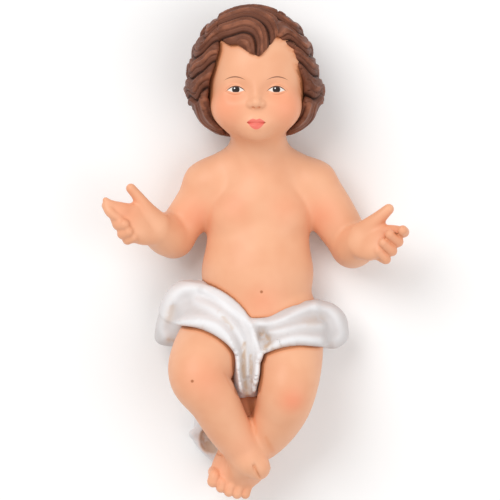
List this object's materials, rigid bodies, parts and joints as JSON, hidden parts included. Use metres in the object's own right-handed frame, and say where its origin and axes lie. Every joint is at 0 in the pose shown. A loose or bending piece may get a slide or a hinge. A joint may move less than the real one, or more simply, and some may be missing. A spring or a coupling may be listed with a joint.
{
  "type": "infant figurine",
  "caption": "Cast figurine of an infant lying on its back with open arms and crossed ankles, in a draped loincloth, with carved waves of hair.",
  "frame": {"origin": "middle of the flat spot under the back, on which the figure rests", "axes": "+X towards the figure's left hand, +Y from the feet to the crown, +Z out of the chest, away from the floor"},
  "size_m": [0.0997, 0.1613, 0.0428],
  "materials": {
    "painted_resin": "satin hand paint over cast resin: peach skin, brown hair and an antiqued white cloth"
  },
  "bodies": {
    "root": {"infant_figure": "painted_resin"}
  },
  "joints": []
}
